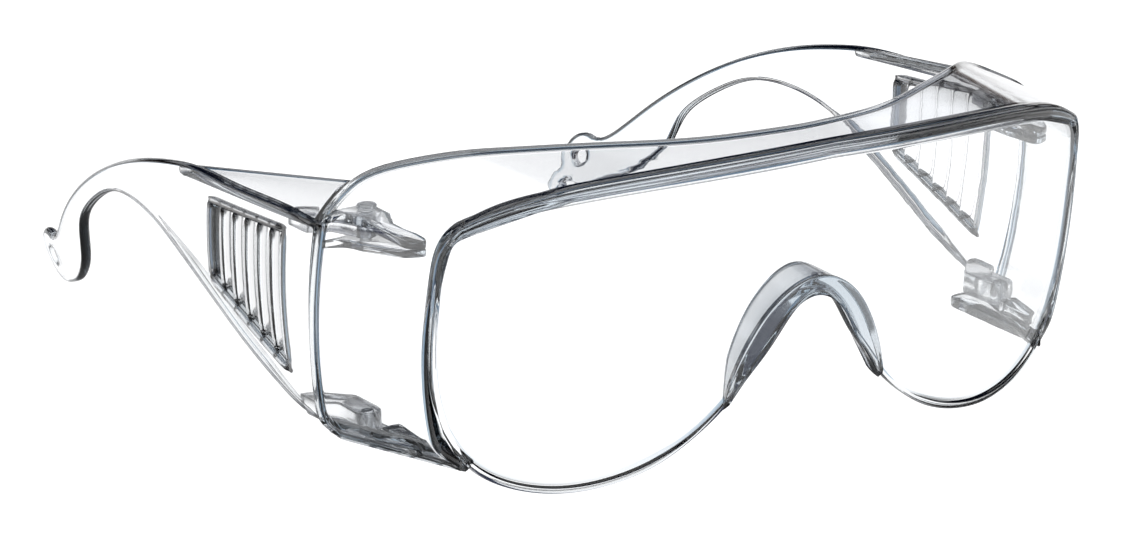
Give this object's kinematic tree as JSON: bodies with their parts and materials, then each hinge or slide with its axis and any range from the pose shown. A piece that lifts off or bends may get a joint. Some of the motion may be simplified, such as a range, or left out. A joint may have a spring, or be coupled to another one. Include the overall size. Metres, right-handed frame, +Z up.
{
  "type": "safety glasses",
  "caption": "Clear over-the-glasses safety spectacles: a one-piece wraparound window with brow hood and nose saddle, and folding temples with louvred side shields and cord holes.",
  "frame": {"origin": "on the surface the open spectacles rest on, under the middle of their overall box", "axes": "+X to the wearer's left, +Y backwards towards the ear hooks, +Z up"},
  "size_m": [0.1502, 0.1714, 0.0586],
  "materials": {
    "front_clear": "water-clear injection-moulded polycarbonate, polished",
    "temple_clear": "water-clear injection-moulded polycarbonate, polished, with frosted hinge knuckles",
    "pin_clear": "clear moulded plastic"
  },
  "bodies": {
    "front": {"wraparound_front": "front_clear", "upper_hinge_pin_left": "pin_clear", "upper_hinge_pin_right": "pin_clear", "lower_hinge_pin_left": "pin_clear", "lower_hinge_pin_right": "pin_clear"},
    "left_temple": {"temple_left": "temple_clear"},
    "right_temple": {"temple_right": "temple_clear"}
  },
  "joints": [
    {"name": "left_temple_fold", "type": "hinge", "parent": "front", "child": "left_temple", "pos_m": [0.0657, -0.04559, 0.03], "axis": [0, 0, 1], "range_deg": [0, 72]},
    {"name": "right_temple_fold", "type": "hinge", "parent": "front", "child": "right_temple", "pos_m": [-0.0657, -0.04559, 0.03], "axis": [0, 0, -1], "range_deg": [0, 46]}
  ]
}
